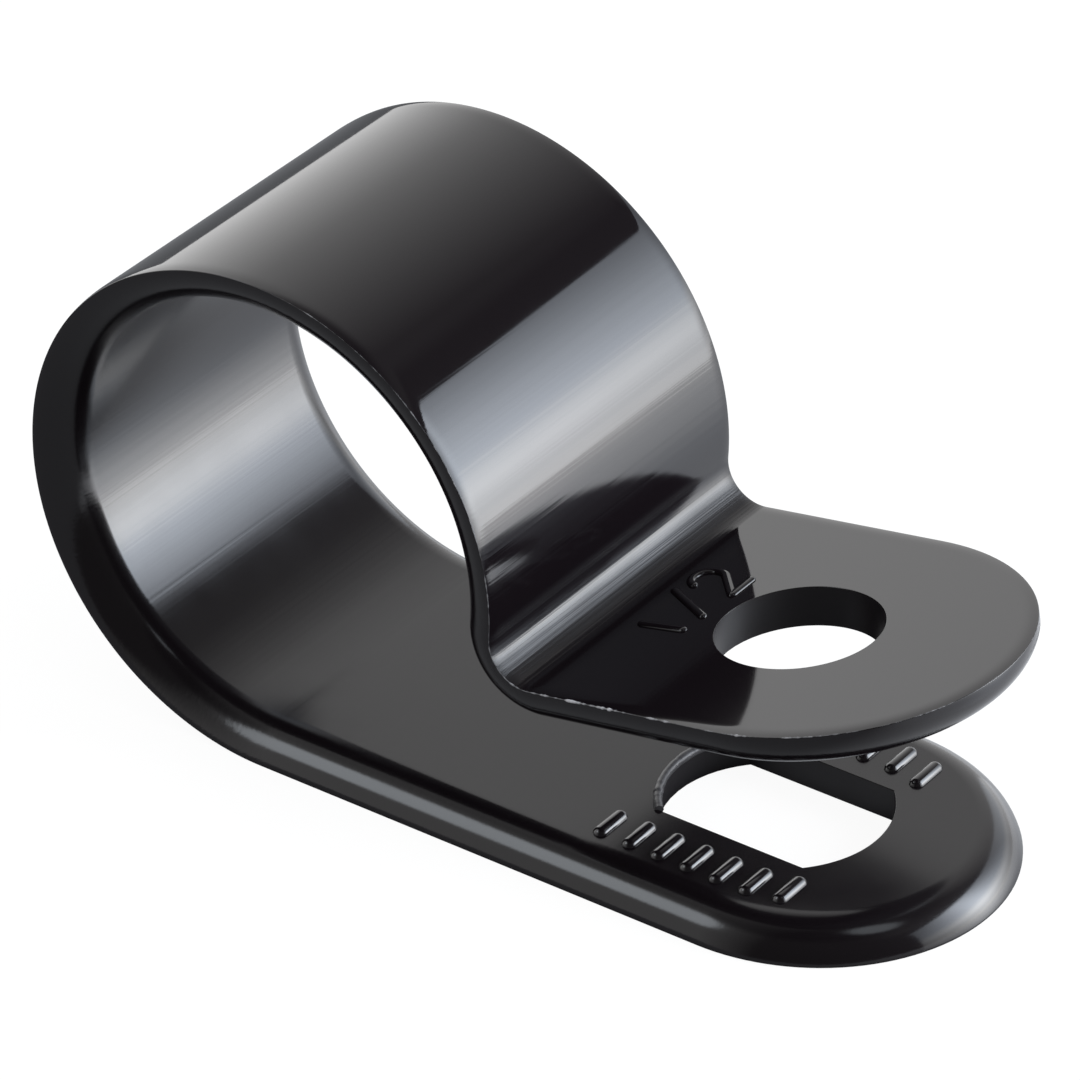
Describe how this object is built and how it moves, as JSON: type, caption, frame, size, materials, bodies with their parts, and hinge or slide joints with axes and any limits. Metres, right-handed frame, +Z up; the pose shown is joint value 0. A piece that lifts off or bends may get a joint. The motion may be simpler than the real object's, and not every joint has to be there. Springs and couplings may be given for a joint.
{
  "type": "cable clamp",
  "caption": "Open one-piece plastic cable clamp: a round loop for a cable or hose, a flat base with a slot and ribs, and a raised tab with a screw hole.",
  "frame": {"origin": "centre of the slot on the mounting face, where the fixing screw passes the base", "axes": "+X along the strap from the loop to the tab's end, +Y along the cable, +Z up from the mounting face"},
  "size_m": [0.0316, 0.0126, 0.0173],
  "materials": {
    "black_nylon": "glossy as moulded"
  },
  "bodies": {
    "root": {"cable_clamp": "black_nylon"}
  },
  "joints": []
}
